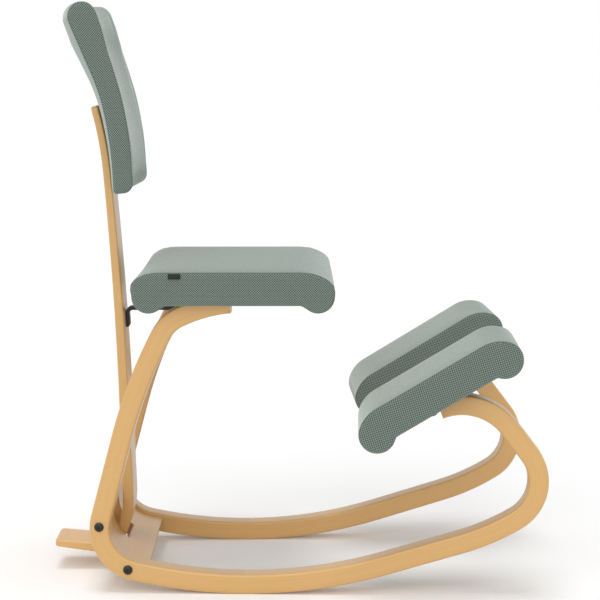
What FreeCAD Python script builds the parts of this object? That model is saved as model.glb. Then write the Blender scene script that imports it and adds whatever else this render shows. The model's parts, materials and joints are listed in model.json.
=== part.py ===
"""Kneeling chair on two bent beech rockers, with a seat, two knee pads and a backrest on a central post.

Lengths are millimetres and angles are degrees. +X points forward, from the seat to the knee pads,
+Y to the sitter's left and +Z up. While the chair is built, X = 0 lies over the point where the
rockers meet the floor; at the end everything moves so that the origin is the middle of the floor
rectangle that the chair covers.
"""
import FreeCAD, Part
import math
import os
import Sketcher
from FreeCAD import Placement, Rotation, Vector

UP = Vector(0, 0, 1)
FORWARD = Vector(1, 0, 0)
LEFTWARD = Vector(0, 1, 0)
SIDES = {"right": -1, "left": 1}

SAME_PLACE = 0.001  # two points closer than this are one point
STRAIGHT = 1.0  # three points that span less than this area, in square millimetres, lie on a line
FRONT_ARCS = 4  # arcs along the front of the backrest

doc = FreeCAD.newDocument("kneeling_chair")
sheet = doc.addObject("Spreadsheet::Sheet", "Sizes")

DRIVING_SIZES = {
    "Rockers": {
        "runner_thick": 31,
        "runner_width": 37.5,
        "runner_round": 4,
        "runner_spacing": 340,
        "splay_angle": 2,
        "rocker_radius": 775,
        "rocker_back_angle": 13.1,
        "rocker_front_angle": 16.7,
        "heel_radius": 68.5,
        "heel_angle": 91.8,
        "arm_bedding": 2,
        "leg_curve_radius": 780,
        "leg_curve_angle": 12.9,
        "seat_bend_radius": 59,
        "seat_bend_angle": 36.2,
        "seat_arm_radius": 237,
        "seat_arm_angle": 20.3,
        "front_length": 122,
        "front_ease_radius": 373,
        "front_ease_angle": 14.6,
        "toe_radius": 71,
        "toe_angle": 96.1,
        "riser_length": 53,
        "knee_bend_radius": 92.5,
        "knee_bend_angle": 75,
    },
    "Rear cross board": {
        "board_thick": 20,
        "board_top_length": 16,
        "board_front_length": 21,
        "slot_width": 87,
        "slot_top_angle": 80,
        "slot_bottom_angle": 22.3,
        "low_bolt_angle": 7.1,
        "high_bolt_angle": 80.6,
    },
    "Back post": {
        "post_width": 80,
        "post_tail_thick": 11.7,
        "post_foot_thick": 18,
        "post_top_thick": 11.6,
        "tail_behind_heel": 156.9,
        "tail_below_heel": 57.8,
        "tail_slope": 6.6,
        "tail_length": 69,
        "foot_radius": 38.2,
        "foot_angle": 71.7,
        "shin_radius": 148,
        "shin_angle": 26.6,
        "post_straight": 127,
        "post_curve_radius": 6650,
        "post_curve_angle": 3.5,
        "post_top_radius": 585,
        "post_top_angle": 10.5,
        "post_round": 3,
        "post_corner": 8,
    },
    "Seat": {
        "seat_height": 460,
        "seat_past_arms": 5.6,
        "seat_length": 313,
        "seat_width": 424,
        "seat_thick": 53,
        "seat_flat": 199,
        "seat_end_radius": 26,
        "seat_end_drop": 11.2,
        "seat_base_thick": 12,
        "seat_front_bolt": 30,
        "seat_rear_bolt": 62,
    },
    "Knee pads": {
        "knee_past_tip": 8.8,
        "knee_above_tip": 11.9,
        "knee_slope": 31.1,
        "knee_inset": 17.5,
        "knee_length": 284,
        "knee_width": 177,
        "knee_thick": 55,
        "knee_flat": 178,
        "knee_end_radius": 29,
        "knee_end_drop": 10.6,
        "knee_base_thick": 10,
        "knee_low_bolt": 25,
        "knee_high_bolt": 15,
    },
    "Upholstery": {
        "cover_thick": 1.5,
        "cushion_edge": 5,
        "base_inset": 12,
        "base_end_gap": 3,
        "base_corner": 10,
        "under_corner": 6,
        "cover_margin": 15,
        "tab_length": 19,
        "tab_height": 5,
        "tab_thick": 1,
        "tab_offset": 76,
    },
    "Backrest": {
        "back_bottom": 627,
        "back_thick": 31.5,
        "back_top_gain": 13.5,
        "back_toe_round": 15,
        "back_heel_round": 6,
        "back_top_radius": 300,
        "back_top_angle": 9.7,
        "back_top_length": 91,
        "back_wrap_bottom": 11,
        "back_wrap_top": 24,
        "back_height": 300,
        "back_width_bottom": 284,
        "back_width_top": 254,
        "back_shell_thick": 9,
        "back_shell_inset": 14,
        "back_gap": 0.3,
        "back_low_bolt": 690,
        "back_high_bolt": 745,
        "back_nut_gap": 0.6,
    },
    "Seat bracket": {
        "bracket_thick": 6.5,
        "bracket_width": 18,
        "bracket_bend": 9,
        "bracket_drop": 29,
        "bracket_grip": 22,
        "bracket_end_round": 5,
        "bracket_behind_middle": 14.5,
        "bracket_crank_angle": 50,
        "bracket_flange": 66,
        "bracket_screw_spacing": 36,
    },
    "Fasteners": {
        "bolt_radius": 4,
        "bolt_head_radius": 7.4,
        "bolt_head_height": 4.2,
        "bolt_socket_radius": 2.9,
        "bolt_socket_depth": 2.6,
        "bolt_face_width": 0.5,
        "bolt_rim_share": 0.35,
        "bolt_bulge_share": 0.2,
        "small_bolt_radius": 3,
        "small_head_radius": 5.6,
        "small_head_height": 3.2,
        "small_socket_radius": 2.3,
        "small_socket_depth": 1.9,
        "screw_radius": 2.2,
        "screw_head_radius": 4.4,
        "screw_head_height": 2.4,
        "screw_length": 15,
        "bolt_clearance": 0.3,
        "bolt_grip_in_board": 32,
        "thread_gap": 0.1,
        "hole_bottom_gap": 2,
        "barrel_nut_radius": 6,
        "barrel_nut_length": 15,
        "barrel_nut_depth": 26,
        "tee_barrel_radius": 4.4,
        "tee_barrel_length": 8,
        "tee_flange_radius": 10,
        "tee_flange_thick": 1.4,
        "counterbore_radius": 7,
        "counterbore_floor": 9,
    },
}


def fill_sheet():
    """Write each driving size in its own row, with its name as the alias."""
    row = 1
    for group, sizes in DRIVING_SIZES.items():
        sheet.set(f"A{row}", group)
        row += 1
        for name, value in sizes.items():
            sheet.set(f"A{row}", name)
            sheet.set(f"B{row}", str(value))
            sheet.setAlias(f"B{row}", name)
            row += 1
    doc.recompute()


fill_sheet()


def size(name):
    """A driving size, read from the sheet."""
    return float(sheet.get(name))


def ref(expression):
    """An expression with every driving size in it bound to the sheet."""
    words = expression.split()
    return " ".join(f"Sizes.{word}" if hasattr(sheet, word) else word for word in words)


def arc(start, middle, end):
    return Part.Arc(start, middle, end)


def line(start, end):
    return Part.LineSegment(start, end)


class Path:
    """A flat path of straight runs and tangent arcs; heading 0 points along x, and left turns count up."""

    def __init__(self, x, z, heading):
        self.point = Vector(x, z, 0)
        self.heading = heading
        self.pieces = []
        self.length = 0.0

    @staticmethod
    def bend_middle(start, heading, radius, angle):
        """Middle of the arc that starts at a point with a heading."""
        return start + direction(heading + math.copysign(90, angle)) * radius

    def run(self, length):
        self.pieces.append(("run", self.point, self.heading, length, 0.0))
        self.point = self.point + direction(self.heading) * length
        self.length += length
        return self

    def turn(self, radius, angle):
        """An arc of the given radius; a negative angle turns right."""
        self.pieces.append(("turn", self.point, self.heading, radius, angle))
        self.point = self.at(self.pieces[-1], 1.0)[0]
        self.heading += angle
        self.length += radius * math.radians(abs(angle))
        return self

    @staticmethod
    def at(piece, share):
        """Point and heading at a share of one piece."""
        kind, start, heading, measure, angle = piece
        if kind == "run":
            return start + direction(heading) * measure * share, heading
        centre = Path.bend_middle(start, heading, measure, angle)
        now = heading + angle * share
        return centre - direction(now + math.copysign(90, angle)) * measure, now

    @staticmethod
    def span(piece):
        kind, start, heading, measure, angle = piece
        return measure if kind == "run" else measure * math.radians(abs(angle))

    def edge(self, offset):
        """Curves beside the path: offset(distance along the path) is how far to its right they lie."""
        curves = []
        travelled = 0.0
        for piece in self.pieces:
            points = []
            for share in (0.0, 0.5, 1.0):
                point, heading = self.at(piece, share)
                aside = offset(travelled + self.span(piece) * share)
                points.append(point + direction(heading - 90) * aside)
            travelled += self.span(piece)
            curves.append(line(points[0], points[2]) if piece[0] == "run" else arc(*points))
        return curves


def direction(heading):
    return Vector(math.cos(math.radians(heading)), math.sin(math.radians(heading)), 0)


def strip(path, thickness):
    """Closed outline of a strip that follows a path; thickness is a function of the distance along it."""
    right = path.edge(lambda s: thickness(s) / 2)
    left = path.edge(lambda s: -thickness(s) / 2)
    caps = [line(right[-1].EndPoint, left[-1].EndPoint), line(left[0].StartPoint, right[0].StartPoint)]
    return right + caps[:1] + left + caps[1:]


def polygon(points):
    corners = [Vector(x, y, 0) for x, y in points]
    return [line(a, b) for a, b in zip(corners, corners[1:] + corners[:1])]


def rectangle(x_low, x_high, y_low, y_high):
    return polygon([(x_low, y_low), (x_high, y_low), (x_high, y_high), (x_low, y_high)])


def new_body(name):
    return doc.addObject("PartDesign::Body", name)


def sketch(body, plane, geometry, height=0.0):
    """A sketch on one of the body's origin planes, lifted by height along the plane's normal."""
    drawing = body.newObject("Sketcher::SketchObject", body.Name + "_sketch")
    face = [feature for feature in body.Origin.OriginFeatures if feature.Role == plane][0]
    drawing.AttachmentSupport = [(face, "")]
    drawing.MapMode = "FlatFace"
    drawing.AttachmentOffset = Placement(Vector(0, 0, height), Rotation())
    drawing.addGeometry(geometry, False)
    return drawing


def pad(body, drawing, length, both_ways=True):
    feature = body.newObject("PartDesign::Pad", body.Name + "_pad")
    feature.Profile = drawing
    feature.Midplane = both_ways
    feature.setExpression("Length", ref(length))
    doc.recompute()
    return feature


def pocket(body, drawing, length=None, both_ways=True):
    """Cut a sketch out of the body, right through it unless a length is given."""
    feature = body.newObject("PartDesign::Pocket", body.Name + "_pocket")
    feature.Profile = drawing
    feature.Midplane = both_ways
    if length is None:
        feature.Type = "ThroughAll"
    else:
        feature.setExpression("Length", ref(length))
    doc.recompute()
    return feature


def round_edges(body, base, chosen, radius):
    """Fillet the edges of a feature for which chosen(edge) is true."""
    names = [f"Edge{i + 1}" for i, edge in enumerate(base.Shape.Edges) if chosen(edge)]
    feature = body.newObject("PartDesign::Fillet", body.Name + "_fillet")
    feature.Base = (base, names)
    feature.setExpression("Radius", ref(radius))
    doc.recompute()
    return feature


def on_sides(half_width):
    """True for an edge that lies wholly in one of the two side planes of a body."""
    def chosen(edge):
        box = edge.BoundBox
        flat = box.YLength < SAME_PLACE
        return flat and abs(abs(box.YMin) - half_width) < SAME_PLACE
    return chosen


def moved(place, along):
    """A place moved along its own z axis."""
    return place.multiply(Placement(UP * along, Rotation()))


def cylinder(name, radius, length, place):
    tool = doc.addObject("Part::Cylinder", name)
    tool.setExpression("Radius", ref(radius))
    tool.setExpression("Height", ref(length))
    tool.Placement = place
    return tool


def cut(name, base, tools):
    """What is left of the base once every tool is taken out."""
    if len(tools) > 1:
        joined = doc.addObject("Part::MultiFuse", name + "_tools")
        joined.Shapes = tools
    else:
        joined = tools[0]
    result = doc.addObject("Part::Cut", name)
    result.Base = base
    result.Tool = joined
    doc.recompute()
    return result


def copies(name, master, places):
    """Separate solids of one part, one at each place."""
    result = doc.addObject("Part::Feature", name)
    shapes = []
    for place in places:
        shape = master.Shape.copy()
        shape.Placement = place.multiply(master.Shape.Placement)
        shapes.append(shape)
    result.Shape = Part.makeCompound(shapes)
    return result


def pointing(position, axis):
    """A place whose own z axis points along axis."""
    return Placement(position, Rotation(UP, axis))


# Places of the parts

def runner_place(side):
    """Middle plane of a runner: x along it, z up, turned outwards to the front."""
    half_spacing = size("runner_spacing") / 2
    return Placement(Vector(0, side * half_spacing, 0), Rotation(UP, side * size("splay_angle")))


def knee_place(side):
    """Middle of the underside of a knee pad: x uphill along the pad, z out of its top."""
    x, z = pad_line(0)
    inward = -side * size("knee_inset")
    there = Placement(Vector(x, inward, z), Rotation(LEFTWARD, -size("knee_slope")))
    return runner_place(side).multiply(there)


def seat_place():
    """Middle of the underside of the seat, which lies on the ends of the runners' arms."""
    x = rear_path().point.x + size("seat_past_arms")
    return Placement(Vector(x, 0, size("seat_height")), Rotation())


# Bent runners

def front_path():
    """Middle line of a runner, from the floor contact forwards and up to the knee pad."""
    path = Path(0, size("runner_thick") / 2, 0)
    path.turn(size("rocker_radius"), size("rocker_front_angle"))
    path.run(size("front_length"))
    path.turn(size("front_ease_radius"), size("front_ease_angle"))
    path.turn(size("toe_radius"), size("toe_angle"))
    path.run(size("riser_length"))
    return path.turn(size("knee_bend_radius"), size("knee_bend_angle"))


def heel_path():
    """Middle line of a runner, from the floor contact backwards to the top of the heel bend."""
    path = Path(0, size("runner_thick") / 2, 180)
    path.turn(size("rocker_radius"), -size("rocker_back_angle"))
    return path.turn(size("heel_radius"), -size("heel_angle"))


def bend_leg(path):
    """The curves at the top of the leg, which lead it forwards into the arm under the seat."""
    path.turn(size("leg_curve_radius"), -size("leg_curve_angle"))
    path.turn(size("seat_bend_radius"), -size("seat_bend_angle"))
    return path.turn(size("seat_arm_radius"), -size("seat_arm_angle"))


def rear_path():
    """Middle line of a runner, from the floor contact back and up, with a leg that reaches the seat."""
    path = heel_path()
    missing = size("seat_height") + size("arm_bedding") - bend_leg(heel_path()).point.y
    path.run(missing / direction(path.heading).y)
    return bend_leg(path)


def runner_outline():
    """Outline of the whole laminated strip, seen from the side."""
    front, rear = front_path(), rear_path()
    half = size("runner_thick") / 2
    under_front = front.edge(lambda s: half)
    over_front = front.edge(lambda s: -half)
    under_rear = rear.edge(lambda s: -half)
    over_rear = rear.edge(lambda s: half)
    tip = line(under_front[-1].EndPoint, over_front[-1].EndPoint)
    top = line(under_rear[-1].EndPoint, over_rear[-1].EndPoint)
    return under_front + [tip] + over_front + over_rear + [top] + under_rear


def pad_line(distance, height=0.0):
    """A point beside the knee pad's underside, in the runner's own plane, placed from the strip's tip."""
    along = direction(size("knee_slope"))
    out = direction(size("knee_slope") + 90)
    middle = front_path().point + Vector(size("knee_past_tip"), size("knee_above_tip"), 0)
    point = middle + along * distance + out * height
    return point.x, point.y


def seat_bolt_places(side):
    """Bolts that hold the seat: up through the thin end of a runner."""
    end = rear_path().point.x
    plane = runner_place(side)
    for back in (size("seat_front_bolt"), size("seat_rear_bolt")):
        yield plane.multiply(Placement(Vector(end - back, 0, size("seat_height")), Rotation()))


def knee_bolt_places(side):
    """Bolts that hold a knee pad: square to its underside, through the thick part of the wedge."""
    plane = runner_place(side)
    turn = Rotation(LEFTWARD, -size("knee_slope"))
    for along in (-size("knee_low_bolt"), size("knee_high_bolt")):
        x, z = pad_line(along)
        yield plane.multiply(Placement(Vector(x, 0, z), turn))


def heel_point(angle):
    """A point on the middle line of the heel bend, angle degrees after the rocker ends."""
    bend = heel_path().pieces[1]
    point, heading = Path.at(bend, angle / size("heel_angle"))
    return Vector(point.x, 0, point.y), heading


def frame_bolt_places(side):
    """Bolts that hold the cross board: straight in through the outer face of a runner."""
    plane = runner_place(side)
    for angle in (size("low_bolt_angle"), size("high_bolt_angle")):
        point, _ = heel_point(angle)
        outer = Vector(point.x, side * size("runner_width") / 2, point.z)
        yield plane.multiply(pointing(outer, LEFTWARD * side))


def make_runner(name):
    """A whole strip, cut level under the seat and to a wedge under the knee pad."""
    body = new_body(name)
    blank = pad(body, sketch(body, "XZ_Plane", runner_outline()), "runner_width")
    on_side_faces = on_sides(size("runner_width") / 2)

    def rim(edge):
        return on_side_faces(edge) and edge.Length > size("runner_thick") + size("runner_round")
    round_edges(body, blank, rim, "runner_round")
    arms = size("seat_length")
    seat = size("seat_height")
    level = rectangle(-arms, arms, seat, seat + size("seat_thick"))
    pocket(body, sketch(body, "XZ_Plane", level))
    length = size("knee_length")
    wedge = [pad_line(-length), pad_line(length), pad_line(length, length), pad_line(-length, length)]
    pocket(body, sketch(body, "XZ_Plane", polygon(wedge)))
    return body


def finish_runner(side_name):
    """Drill a runner for its bolts, with counterbores for the ones that come from below."""
    side = SIDES[side_name]
    name = "runner_" + side_name
    body = make_runner(name + "_blank")
    body.Placement = runner_place(side)
    drills = []
    for number, place in enumerate(frame_bolt_places(side)):
        inwards = moved(place, -size("runner_width") - size("bolt_head_height"))
        drills.append(cylinder(f"{name}_frame_drill_{number}", "bolt_radius + bolt_clearance",
                               "runner_width + bolt_head_height * 2", inwards))
    upward = list(seat_bolt_places(side)) + list(knee_bolt_places(side))
    for number, place in enumerate(upward):
        below = moved(place, -size("runner_thick") * 2)
        drills.append(cylinder(f"{name}_drill_{number}", "small_bolt_radius + bolt_clearance",
                               "runner_thick * 3", below))
        deep = moved(below, -size("counterbore_floor"))
        drills.append(cylinder(f"{name}_counterbore_{number}", "counterbore_radius",
                               "runner_thick * 2", deep))
    return cut(name, body, drills)


# Rear cross board

def inner_face_y(x):
    """Distance from the middle of the chair to a runner's inner face, at x."""
    slope = math.tan(math.radians(size("splay_angle")))
    half_width = size("runner_width") / 2 / math.cos(math.radians(size("splay_angle")))
    return size("runner_spacing") / 2 - half_width + x * slope


def board_path():
    """Middle line of the cross board: the rear of the rocker, the heel bend and the foot of the leg."""
    rocker, heel = heel_path().pieces
    share = 1 - size("board_front_length") / Path.span(rocker)
    point, heading = Path.at(rocker, share)
    path = Path(point.x, point.y, heading)
    path.turn(size("rocker_radius"), -(1 - share) * size("rocker_back_angle"))
    path.turn(size("heel_radius"), -size("heel_angle"))
    return path.run(size("board_top_length"))


def heel_middle():
    """Middle of the heel bend, with the heading of the strip where the bend starts and its radius."""
    _, start, heading, radius, angle = heel_path().pieces[1]
    return Path.bend_middle(start, heading, radius, angle), heading, radius


def slot_corners():
    """The slot's walls lie on two rays from the middle of the heel bend."""
    centre, heading, radius = heel_middle()
    near = radius - size("board_thick")
    far = radius + size("board_thick")
    corners = []
    for angle, reaches in ((size("slot_bottom_angle"), (near, far)), (size("slot_top_angle"), (far, near))):
        for reach in reaches:
            point = centre + direction(heading + 90 - angle) * reach
            corners.append((point.x, point.y))
    return corners


def make_board():
    """Bent board with its ends cut to the splay of the runners, a slot for the post, and bolt holes."""
    body = new_body("rear_cross_board_blank")
    outline = strip(board_path(), lambda s: size("board_thick"))
    blank = pad(body, sketch(body, "XZ_Plane", outline), "runner_spacing")
    rear = blank.Shape.BoundBox.XMin - size("board_thick")
    beyond = size("runner_spacing")
    for side in SIDES.values():
        edge = [(x, side * inner_face_y(x)) for x in (rear, 0)]
        waste = edge + [(0, side * beyond), (rear, side * beyond)]
        pocket(body, sketch(body, "XY_Plane", polygon(waste)))
    pocket(body, sketch(body, "XZ_Plane", polygon(slot_corners())), "slot_width")
    depth = size("runner_width") + size("bolt_grip_in_board") + size("hole_bottom_gap")
    drills = []
    for side_name, side in SIDES.items():
        for number, place in enumerate(frame_bolt_places(side)):
            drills.append(cylinder(f"board_drill_{side_name}_{number}", "bolt_radius + bolt_clearance",
                                   "bolt_grip_in_board + hole_bottom_gap + runner_width",
                                   moved(place, -depth)))
        for number, place in enumerate(barrel_nut_places(side)):
            drills.append(cylinder(f"board_nut_hole_{side_name}_{number}", "barrel_nut_radius + thread_gap",
                                   "barrel_nut_length + board_thick", place))
    return cut("rear_cross_board", body, drills)


def barrel_nut_places(side):
    """Cross dowel nuts, each with its blind end first: z leads out through the board's rear face."""
    plane = runner_place(side)
    aside = -side * (size("runner_width") / 2 + size("barrel_nut_depth"))
    for angle in (size("low_bolt_angle"), size("high_bolt_angle")):
        point, heading = heel_point(angle)
        out = direction(heading + 90)
        outward = Vector(out.x, 0, out.y)
        start = Vector(point.x, aside, point.z) - outward * (size("barrel_nut_length") / 2)
        yield plane.multiply(pointing(start, outward))


# Back post

def post_path():
    """Middle line of the post, from the end of its tail forwards and up to the backrest."""
    heel, _, _ = heel_middle()
    path = Path(heel.x - size("tail_behind_heel"), heel.y - size("tail_below_heel"), -size("tail_slope"))
    path.run(size("tail_length"))
    path.turn(size("foot_radius"), size("foot_angle"))
    path.turn(size("shin_radius"), size("shin_angle"))
    path.run(size("post_straight"))
    path.turn(size("post_curve_radius"), size("post_curve_angle"))
    return path.turn(size("post_top_radius"), size("post_top_angle"))


def post_thickness(path):
    """Thickness by the distance from the tail's end: thickest at the foot, thin at both ends."""
    foot = size("tail_length") + Path.span(path.pieces[1])

    def at(s):
        if s < foot:
            return size("post_tail_thick") + (size("post_foot_thick") - size("post_tail_thick")) * s / foot
        share = (s - foot) / (path.length - foot)
        return size("post_foot_thick") + (size("post_top_thick") - size("post_foot_thick")) * share
    return at


def post_at(height):
    """Point on the post's middle line at a height, with the heading and the thickness there."""
    path = post_path()
    thickness = post_thickness(path)
    travelled = sum(Path.span(piece) for piece in path.pieces[:3])
    for piece in path.pieces[3:]:
        if Path.at(piece, 1)[0].y >= height:
            break
        travelled += Path.span(piece)
    low, high = 0.0, 1.0
    while (high - low) * Path.span(piece) > SAME_PLACE / 2:
        middle = (low + high) / 2
        low, high = (middle, high) if Path.at(piece, middle)[0].y < height else (low, middle)
    point, heading = Path.at(piece, low)
    return point, heading, thickness(travelled + Path.span(piece) * low)


def behind_post(height):
    """A place on the post's rear face, with z leading out backwards."""
    point, heading, thick = post_at(height)
    out = direction(heading + 90)
    rear = point + out * (thick / 2)
    return pointing(Vector(rear.x, 0, rear.y), Vector(out.x, 0, out.y))


def make_post():
    """Bent post with rounded corners at both ends, drilled for the backrest and the bracket."""
    body = new_body("back_post_blank")
    path = post_path()
    blank = pad(body, sketch(body, "XZ_Plane", strip(path, post_thickness(path))), "post_width")
    on_side_faces = on_sides(size("post_width") / 2)

    def corner(edge):
        return on_side_faces(edge) and edge.Length < size("post_foot_thick")

    def rim(edge):
        return on_side_faces(edge) and edge.Length > size("post_foot_thick")
    corners = round_edges(body, blank, corner, "post_corner")
    round_edges(body, corners, rim, "post_round")
    drills = []
    heights = [size("back_low_bolt"), size("back_high_bolt"), bracket_bolt_height()]
    for number, height in enumerate(heights):
        through = moved(behind_post(height), -size("post_foot_thick") * 2)
        drills.append(cylinder(f"post_drill_{number}", "small_bolt_radius + bolt_clearance",
                               "post_foot_thick * 3", through))
    return cut("back_post", body, drills)


# Seat bracket

def bracket_bolt_height():
    """The bolt goes through the middle of the stretch of the bar that lies on the post."""
    return size("seat_height") - size("bracket_drop") - size("bracket_bend") - size("bracket_grip") / 2


def bend_bracket(run):
    """Middle line of the bent bar: up the post's front face, forwards by run, and cranked up to the seat."""
    point, heading, thick = post_at(bracket_bolt_height())
    front = point + direction(heading - 90) * (thick / 2 + size("bracket_thick") / 2)
    start = front - direction(heading) * (size("bracket_grip") / 2)
    path = Path(start.x, start.y, heading)
    path.run(size("bracket_grip")).turn(size("bracket_bend"), -heading)
    path.run(run)
    crank = size("bracket_crank_angle")
    rise = size("seat_height") - size("bracket_thick") / 2 - path.point.y
    bends = 2 * size("bracket_bend") * (1 - math.cos(math.radians(crank)))
    path.turn(size("bracket_bend"), crank)
    path.run((rise - bends) / math.sin(math.radians(crank)))
    path.turn(size("bracket_bend"), -crank)
    return path.run(size("bracket_flange"))


def bracket_path():
    """The bent bar's middle line, long enough to end just behind the middle of the seat."""
    end = seat_place().Base.x - size("bracket_behind_middle")
    return bend_bracket(end - bend_bracket(0).point.x)


def bracket_screw_places():
    """Screw heads, flush with the underside of the bracket's flange; z leads down."""
    end = bracket_path().point
    middle = end.x - size("bracket_flange") / 2
    for shift in (-0.5, 0.5):
        x = middle + shift * size("bracket_screw_spacing")
        yield pointing(Vector(x, 0, end.y - size("bracket_thick") / 2), -UP)


def make_bracket():
    """Bent flat bar, threaded for the post's bolt and countersunk for the seat's screws."""
    body = new_body("seat_bracket_blank")
    path = bracket_path()
    outline = strip(path, lambda s: size("bracket_thick"))
    blank = pad(body, sketch(body, "XZ_Plane", outline), "bracket_width")
    start = path.pieces[0][1]

    def low_front(edge):
        box = edge.BoundBox
        across = box.YLength > size("bracket_width") - SAME_PLACE
        return across and box.ZMax < start.y + size("bracket_thick") and box.XMin > start.x
    round_edges(body, blank, low_front, "bracket_end_round")
    through = moved(behind_post(bracket_bolt_height()), -size("post_foot_thick") * 2)
    drills = [cylinder("bracket_thread", "small_bolt_radius + thread_gap", "post_foot_thick * 3", through)]
    for number, place in enumerate(bracket_screw_places()):
        above = moved(place, -size("bracket_thick"))
        drills.append(cylinder(f"bracket_screw_hole_{number}", "screw_radius + thread_gap",
                               "bracket_thick * 2", above))
        sink = doc.addObject("Part::Cone", f"bracket_countersink_{number}")
        sink.setExpression("Radius1", ref("screw_radius + thread_gap"))
        sink.setExpression("Radius2", ref("screw_head_radius + thread_gap"))
        sink.setExpression("Height", ref("screw_head_height"))
        sink.Placement = moved(place, -size("screw_head_height"))
        drills.append(sink)
    return cut("seat_bracket", body, drills)


# Cushions

def bone_outline(length, thick, flat, end_radius, drop, lift=0.0):
    """Side view of a cushion: flat underneath, with rounded ends that bulge down past the underside.

    Each end is a neck that curves down from the flat, a round end, and a shoulder that carries on
    from the round end where that faces 45 degrees up and meets the top level.
    """
    lean = direction(45)
    middle_x = length / 2 - end_radius
    middle_z = end_radius - drop
    flat_end = flat / 2
    neck_radius = ((middle_x - flat_end) ** 2 / drop - (end_radius + middle_z)) / 2
    shoulder_radius = (thick - middle_z - end_radius * lean.y) / (1 - lean.y)
    end_middle = Vector(middle_x, middle_z, 0)
    neck_middle = Vector(flat_end, -neck_radius, 0)
    to_neck = neck_middle - end_middle
    joint = end_middle + to_neck * (end_radius / (neck_radius + end_radius))
    joint_angle = math.degrees(math.atan2(to_neck.y, to_neck.x))
    shoulder_middle = end_middle - lean * (shoulder_radius - end_radius)
    points = [
        Vector(flat_end, 0, 0),
        neck_middle + direction((90 + joint_angle + 180) / 2) * neck_radius,
        joint,
        end_middle + direction((joint_angle + 45) / 2) * end_radius,
        end_middle + lean * end_radius,
        shoulder_middle + direction((45 + 90) / 2) * shoulder_radius,
        Vector(shoulder_middle.x, thick, 0),
    ]
    rise = Vector(0, lift, 0)
    front = [point + rise for point in points]
    rear = [Vector(-point.x, point.y, 0) for point in front]
    curves = []
    for side in (front, rear):
        curves += [arc(*side[0:3]), arc(*side[2:5]), arc(*side[4:7])]
    return curves + [line(front[0], rear[0]), line(front[6], rear[6])]


def prism(name, place, outline, width, edge_radius):
    """A cushion form of constant side view, with its side edges rounded."""
    body = new_body(name)
    blank = pad(body, sketch(body, "XZ_Plane", outline), width)
    half_width = blank.Shape.BoundBox.YMax
    round_edges(body, blank, on_sides(half_width), edge_radius)
    body.Placement = place
    return body


def plate(name, place, x_half, y_half, corner, thickness, lift):
    """A flat board or cloth with rounded corners, its underside at height lift in its own place."""
    def upright(edge):
        return edge.BoundBox.XLength < SAME_PLACE and edge.BoundBox.YLength < SAME_PLACE
    body = new_body(name)
    drawing = sketch(body, "XY_Plane", rectangle(-x_half, x_half, -y_half, y_half))
    blank = pad(body, drawing, thickness, both_ways=False)
    round_edges(body, blank, upright, corner)
    body.Placement = moved(place, lift)
    return body


def upholster(prefix, place, kind, holes, extra_holes=()):
    """Base board, foam, cover and under cover of the seat or of a knee pad, drilled for its bolts."""
    cover = size("cover_thick")
    outer_sizes = [size(f"{kind}_{word}") for word in ("length", "thick", "flat", "end_radius", "end_drop")]
    length, thick, flat, end_radius, drop = outer_sizes
    outer = prism(prefix + "_outer", place, bone_outline(*outer_sizes), f"{kind}_width", "cushion_edge")
    inner_outline = bone_outline(length - 2 * cover, thick - 2 * cover, flat, end_radius - cover, drop,
                                 cover)
    inner = prism(prefix + "_inner", place, inner_outline, f"{kind}_width - cover_thick * 2",
                  "cushion_edge - cover_thick")
    x_half = flat / 2 - size("base_end_gap")
    y_half = size(f"{kind}_width") / 2 - size("base_inset")
    margin = size("cover_margin")
    base_thick = f"{kind}_base_thick"
    base = plate(prefix + "_base_blank", place, x_half, y_half, "base_corner", base_thick, cover)
    under = plate(prefix + "_under_blank", place, x_half - margin, y_half - margin, "under_corner",
                  "cover_thick", 0)
    base_drills, under_drills, nut_spaces = [], [], []
    for number, hole in enumerate(holes):
        below = moved(hole, -cover)
        base_drills.append(cylinder(f"{prefix}_nut_drill_{number}", "tee_barrel_radius + thread_gap",
                                    f"{base_thick} + cover_thick * 3", below))
        under_drills.append(cylinder(f"{prefix}_cloth_hole_{number}", "small_bolt_radius + bolt_clearance",
                                     "cover_thick * 3", below))
        on_top = moved(hole, cover + size(base_thick))
        nut_spaces.append(cylinder(f"{prefix}_nut_space_{number}", "tee_flange_radius + thread_gap",
                                   "tee_flange_thick + thread_gap", on_top))
    for number, hole in enumerate(extra_holes):
        base_drills.append(cylinder(f"{prefix}_pilot_{number}", "screw_radius",
                                    "screw_length - bracket_thick + cover_thick", hole))
        under_drills.append(cylinder(f"{prefix}_cloth_pilot_{number}", "screw_radius + thread_gap",
                                     "cover_thick * 2", hole))
    return [
        cut(prefix + "_base", base, base_drills),
        cut(prefix + "_foam", inner, [base] + nut_spaces),
        cut(prefix + "_cover", outer, [inner, under]),
        cut(prefix + "_under_cover", under, under_drills),
    ]


# Backrest

def back_rear_path():
    """Rear face of the backrest in the middle plane: it follows the post's front face and runs on up."""
    gap = size("back_gap")
    post = post_path()
    thickness = post_thickness(post)
    start, heading, thick = post_at(size("back_bottom"))
    joint, joint_heading = Path.at(post.pieces[5], 0)
    joint_thick = thickness(post.length - Path.span(post.pieces[5]))
    first = start + direction(heading - 90) * (thick / 2 + gap)
    second = joint + direction(joint_heading - 90) * (joint_thick / 2 + gap)
    third = post.point + direction(post.heading - 90) * (thickness(post.length) / 2 + gap)
    path = Path(first.x, first.y, heading)
    lower_turn = joint_heading - heading
    path.turn((second - first).Length / math.radians(lower_turn), lower_turn)
    path.turn((third - second).Length / math.radians(size("post_top_angle")), size("post_top_angle"))
    path.turn(size("back_top_radius"), size("back_top_angle"))
    return path.run(size("back_top_length"))


def back_depth(share):
    """Thickness of the backrest cushion at a share of its height: even below, swelling into the top roll."""
    swell = share ** 3
    return size("back_thick") + size("back_top_gain") * (3 * swell ** 2 - 2 * swell ** 3)


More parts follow.
